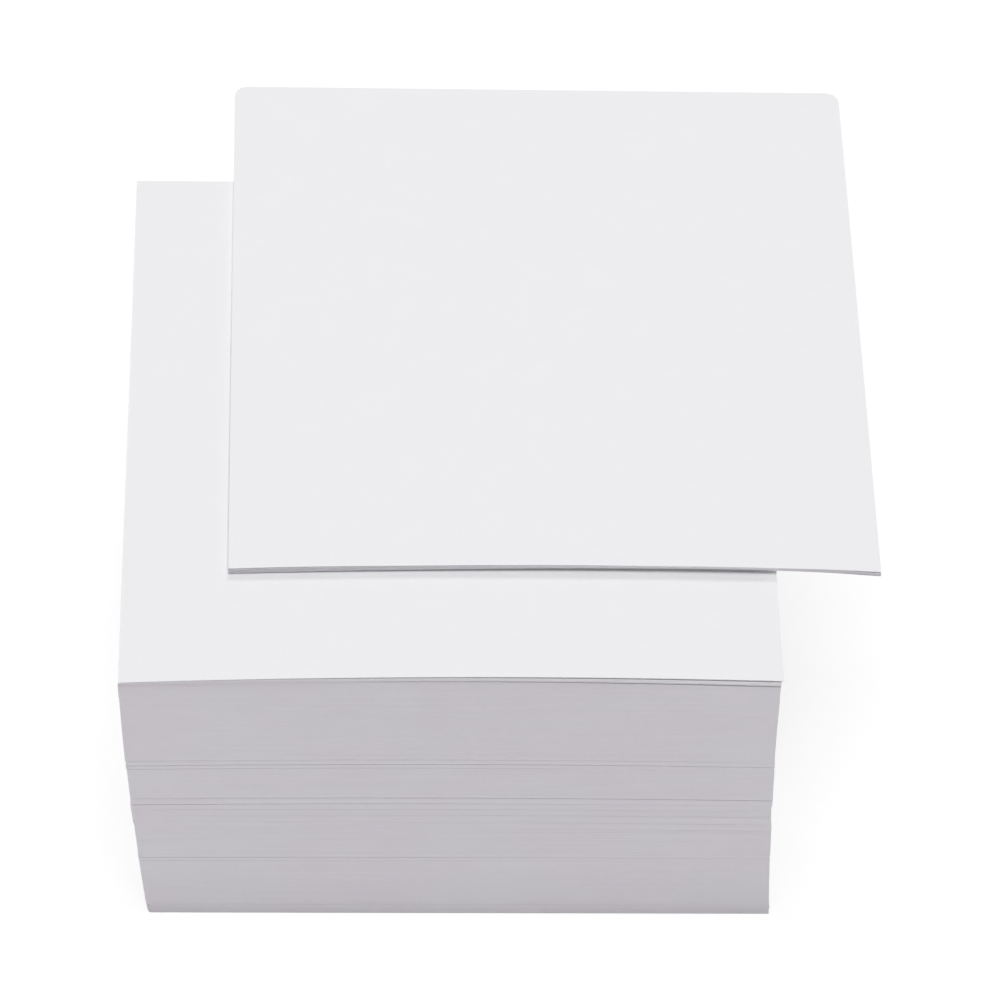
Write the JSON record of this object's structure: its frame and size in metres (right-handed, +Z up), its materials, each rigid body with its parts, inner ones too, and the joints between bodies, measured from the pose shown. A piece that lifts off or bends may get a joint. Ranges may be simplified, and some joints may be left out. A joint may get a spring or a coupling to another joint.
{
  "type": "stack of memo paper",
  "caption": "Thick leaning stack of loose square memo sheets, arched at the front edge, with curled top sheets and a thin fanned packet laid askew on top.",
  "frame": {"origin": "centre of the underside of the lowest sheet, on the surface that the stack stands on", "axes": "+Z up; -Y towards the front face of the stack, where the sheets arch; +X to the right, where the packet hangs over"},
  "size_m": [0.1038, 0.1074, 0.0591],
  "materials": {
    "paper": "matt uncoated white, very slightly cool"
  },
  "bodies": {
    "root": {"lift_01": "paper", "lift_02": "paper", "lift_03": "paper", "lift_04": "paper", "lift_05": "paper", "lift_06": "paper", "lift_07": "paper", "lift_08": "paper", "lift_09": "paper", "lift_10": "paper", "lift_11": "paper", "lift_12": "paper", "lift_13": "paper", "loose_sheet_1": "paper", "loose_sheet_2": "paper", "loose_sheet_3": "paper", "loose_sheet_4": "paper", "loose_sheet_5": "paper", "loose_sheet_6": "paper", "packet_sheet_1": "paper", "packet_sheet_2": "paper", "packet_sheet_3": "paper", "packet_sheet_4": "paper", "packet_sheet_5": "paper", "packet_sheet_6": "paper"}
  },
  "joints": []
}
